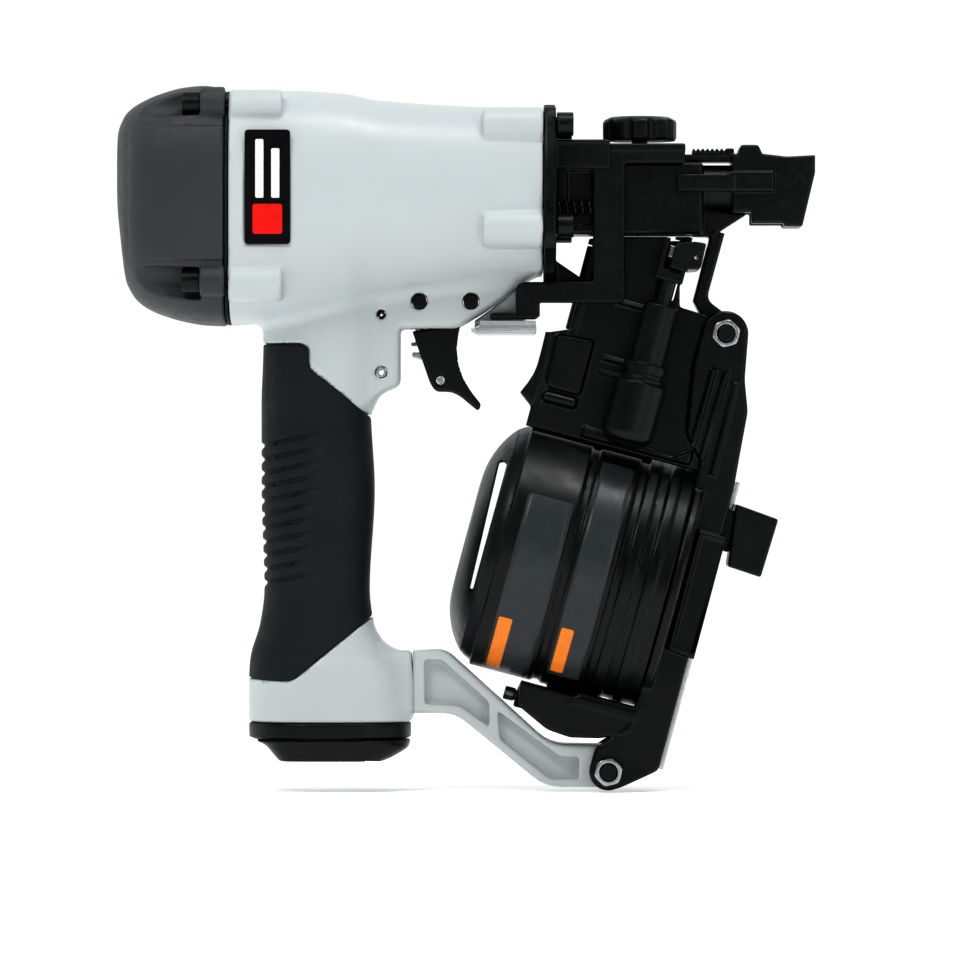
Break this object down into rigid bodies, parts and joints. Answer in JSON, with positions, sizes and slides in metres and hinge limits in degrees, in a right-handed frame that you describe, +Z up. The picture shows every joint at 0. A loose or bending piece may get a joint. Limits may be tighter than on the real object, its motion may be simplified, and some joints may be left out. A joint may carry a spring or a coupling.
{
  "type": "pneumatic nail gun",
  "caption": "Air-driven coil nailer with a pistol grip, a tilted round nail canister, a piston and driver, a sprung contact foot and a trigger.",
  "frame": {"origin": "middle of the bounding box's bottom face, under the tool", "axes": "+X along the drive axis towards the nose, +Z up, +Y towards the operator's left"},
  "size_m": [0.2656, 0.099, 0.2686],
  "materials": {
    "grey_paint": "satin powder coat on cast magnesium",
    "cap_plastic": "fine-textured moulded plastic",
    "grip_rubber": "soft matt elastomer",
    "bumper_urethane": "amber urethane",
    "black_plastic": "satin moulded plastic",
    "black_steel": "satin black oxide and paint",
    "black_casting": "satin black paint on cast aluminium",
    "bare_steel": "bright zinc-plated steel",
    "aluminium": "satin grey aluminium"
  },
  "bodies": {
    "tool": {"main_housing": "grey_paint", "magazine_arm": "grey_paint", "grip_sleeve": "grip_rubber", "side_label": "black_plastic", "upper_roll_pin": "black_steel", "lower_roll_pin": "bare_steel", "handle_end_cap": "black_plastic", "air_inlet": "bare_steel", "end_cap_screw_1": "black_steel", "end_cap_screw_2": "black_steel", "end_cap_screw_3": "black_steel", "rear_cap": "cap_plastic", "cap_gasket": "grip_rubber", "cap_screw_1": "black_steel", "cap_screw_2": "black_steel", "cap_screw_3": "black_steel", "cap_screw_4": "black_steel", "cylinder_sleeve": "aluminium", "drive_bumper": "bumper_urethane", "head_valve_spring": "bare_steel", "nose_body": "black_steel", "nose_screw_1": "black_steel", "nose_screw_2": "black_steel", "nose_screw_3": "black_steel", "nose_screw_4": "black_steel", "contact_spring": "bare_steel", "trigger_pin": "black_steel", "valve_body": "aluminium", "valve_pin": "black_steel", "arm_guide": "aluminium", "magazine_frame": "black_casting", "upper_magazine_bolt": "black_steel", "upper_magazine_nut": "bare_steel", "lower_magazine_bolt": "black_steel", "lower_magazine_nut": "bare_steel", "canister_body": "black_plastic", "canister_hinge_pin": "aluminium", "feed_cylinder": "black_casting", "feed_spring": "bare_steel", "door_hinge_pin": "bare_steel", "guide_rail": "aluminium"},
    "head_valve": {"head_valve": "black_plastic"},
    "piston": {"piston": "aluminium", "piston_ring": "grip_rubber", "driver_blade": "bare_steel"},
    "trigger": {"trigger": "black_plastic", "lever_pin": "bare_steel"},
    "trigger_lever": {"trigger_lever": "bare_steel"},
    "valve_stem": {"valve_stem": "bare_steel"},
    "contact_arm": {"contact_arm": "black_steel"},
    "depth_knob": {"depth_knob": "black_plastic"},
    "contact_foot": {"contact_foot": "black_steel"},
    "feed_piston": {"feed_piston": "bare_steel"},
    "feed_pawl": {"feed_pawl": "bare_steel"},
    "feed_door": {"feed_door": "black_steel"},
    "door_latch": {"door_latch": "black_steel"},
    "canister_cover": {"canister_cover": "black_plastic"},
    "nail_platform": {"nail_platform": "black_plastic"},
    "shingle_guide": {"shingle_guide": "black_casting"},
    "guide_knob": {"guide_knob": "black_plastic"}
  },
  "joints": [
    {"name": "trigger_pull", "type": "hinge", "parent": "tool", "child": "trigger", "pos_m": [0.0017, -0.0075, 0.18628], "axis": [0, 1, 0], "range_deg": [0, 10], "stiffness_Nm_per_rad": 0.35},
    {"name": "lever_tilt", "type": "hinge", "parent": "trigger", "child": "trigger_lever", "pos_m": [-0.01, -0.0075, 0.15628], "axis": [0, 1, 0], "range_deg": [0, 4]},
    {"name": "valve_lift", "type": "slide", "parent": "tool", "child": "valve_stem", "axis": [0, 0, 1], "range_m": [0, 0.0026]},
    {"name": "contact_trip", "type": "slide", "parent": "tool", "child": "contact_arm", "axis": [-1, 0, 0], "range_m": [0, 0.008], "stiffness_N_per_m": 220, "deforming": ["contact_spring"]},
    {"name": "depth_turn", "type": "hinge", "parent": "contact_arm", "child": "depth_knob", "pos_m": [0.0662, -0.0075, 0.24958], "axis": [0, 0, 1], "range_deg": [-120, 120]},
    {"name": "foot_adjust", "type": "slide", "parent": "contact_arm", "child": "contact_foot", "axis": [1, 0, 0], "range_m": [-0.0025, 0.0025]},
    {"name": "drive_stroke", "type": "slide", "parent": "tool", "child": "piston", "axis": [1, 0, 0], "range_m": [0, 0.062]},
    {"name": "head_valve_open", "type": "slide", "parent": "tool", "child": "head_valve", "axis": [-1, 0, 0], "range_m": [0, 0.004], "stiffness_N_per_m": 900, "deforming": ["head_valve_spring"]},
    {"name": "feed_stroke", "type": "slide", "parent": "tool", "child": "feed_piston", "axis": [-0.2588, 0, -0.9659], "range_m": [0, 0.009], "stiffness_N_per_m": 260, "springref_m": -0.004, "deforming": ["feed_spring"]},
    {"name": "pawl_tilt", "type": "hinge", "parent": "feed_piston", "child": "feed_pawl", "pos_m": [0.07953, -0.026, 0.20471], "axis": [0.9659, 0, -0.2588], "range_deg": [0, 12], "stiffness_Nm_per_rad": 0.05, "springref_deg": -2.86},
    {"name": "door_swing", "type": "hinge", "parent": "tool", "child": "feed_door", "pos_m": [0.04492, 0.0009, 0.19224], "axis": [0.2588, 0, 0.9659], "range_deg": [0, 100]},
    {"name": "latch_slide", "type": "slide", "parent": "tool", "child": "door_latch", "axis": [-0.2588, 0, -0.9659], "range_m": [0, 0.004], "stiffness_N_per_m": 300, "springref_m": -0.002},
    {"name": "cover_swing", "type": "hinge", "parent": "tool", "child": "canister_cover", "pos_m": [0.0332, 0.0015, 0.0318], "axis": [-0.9659, 0, 0.2588], "range_deg": [0, 70]},
    {"name": "platform_shift", "type": "slide", "parent": "tool", "child": "nail_platform", "axis": [-0.9659, 0, 0.2588], "range_m": [0, 0.018]},
    {"name": "guide_shift", "type": "slide", "parent": "tool", "child": "shingle_guide", "axis": [-0.2588, 0, -0.9659], "range_m": [0, 0.07]},
    {"name": "guide_lock", "type": "hinge", "parent": "shingle_guide", "child": "guide_knob", "pos_m": [0.10848, 0.0085, 0.09446], "axis": [0, 1, 0], "continuous": true}
  ],
  "couplings": [
    {"joint": "trigger_pull", "follows": "valve_lift", "rad_per_m": 67.1},
    {"joint": "lever_tilt", "follows": "contact_trip", "rad_per_m": 8.7},
    {"joint": "depth_turn", "follows": "foot_adjust", "rad_per_m": 837.7}
  ]
}
